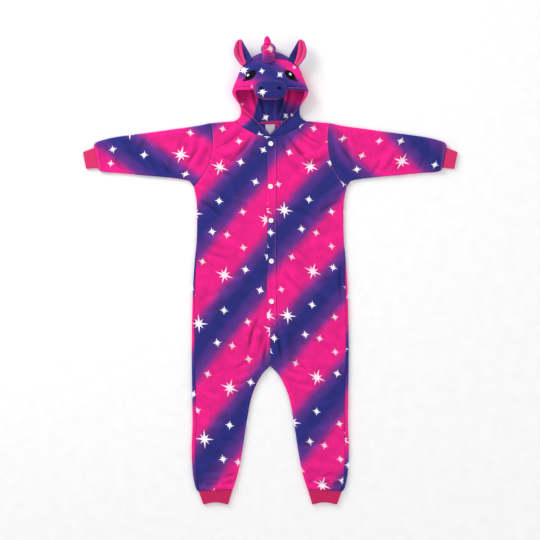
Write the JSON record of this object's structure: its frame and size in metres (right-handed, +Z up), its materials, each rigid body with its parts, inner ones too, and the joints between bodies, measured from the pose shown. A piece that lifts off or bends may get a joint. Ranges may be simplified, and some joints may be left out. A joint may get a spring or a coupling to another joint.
{
  "type": "unicorn onesie costume",
  "caption": "Hooded fleece onesie laid flat, with a buttoned front, rib cuffs, and a hood with a stuffed muzzle, horn, mane and ears.",
  "frame": {"origin": "on the surface under the garment, below the middle of its overall box", "axes": "+X to the wearer's left, +Y from the ankles towards the hood, +Z up from the surface, out of the garment's front"},
  "size_m": [1.1238, 1.398, 0.0849],
  "materials": {
    "print_fleece": "brushed fleece with diagonal pink and blue bands and white stars",
    "rib_knit": "rib knit",
    "ear_lining": "plain brushed fleece",
    "mane_fleece": "plain brushed fleece",
    "black_felt": "close felt",
    "white_felt": "close felt",
    "button_resin": "polished",
    "label_tape": "woven satin, blank"
  },
  "bodies": {
    "root": {"front_left": "print_fleece", "back_left": "print_fleece", "sleeve_left": "print_fleece", "hood_back_left": "print_fleece", "ear_left": "print_fleece", "wrist_cuff_left": "rib_knit", "ankle_cuff_left": "rib_knit", "ear_lining_left": "ear_lining", "eye_left": "black_felt", "nostril_left": "black_felt", "eye_glint_left": "white_felt", "front_right": "print_fleece", "back_right": "print_fleece", "sleeve_right": "print_fleece", "hood_back_right": "print_fleece", "ear_right": "print_fleece", "wrist_cuff_right": "rib_knit", "ankle_cuff_right": "rib_knit", "ear_lining_right": "ear_lining", "eye_right": "black_felt", "nostril_right": "black_felt", "eye_glint_right": "white_felt", "placket": "print_fleece", "hood_face": "print_fleece", "muzzle": "print_fleece", "horn": "print_fleece", "mane": "mane_fleece", "neck_tape": "rib_knit", "label": "label_tape", "button_1": "button_resin", "button_2": "button_resin", "button_3": "button_resin", "button_4": "button_resin", "button_5": "button_resin"}
  },
  "joints": []
}
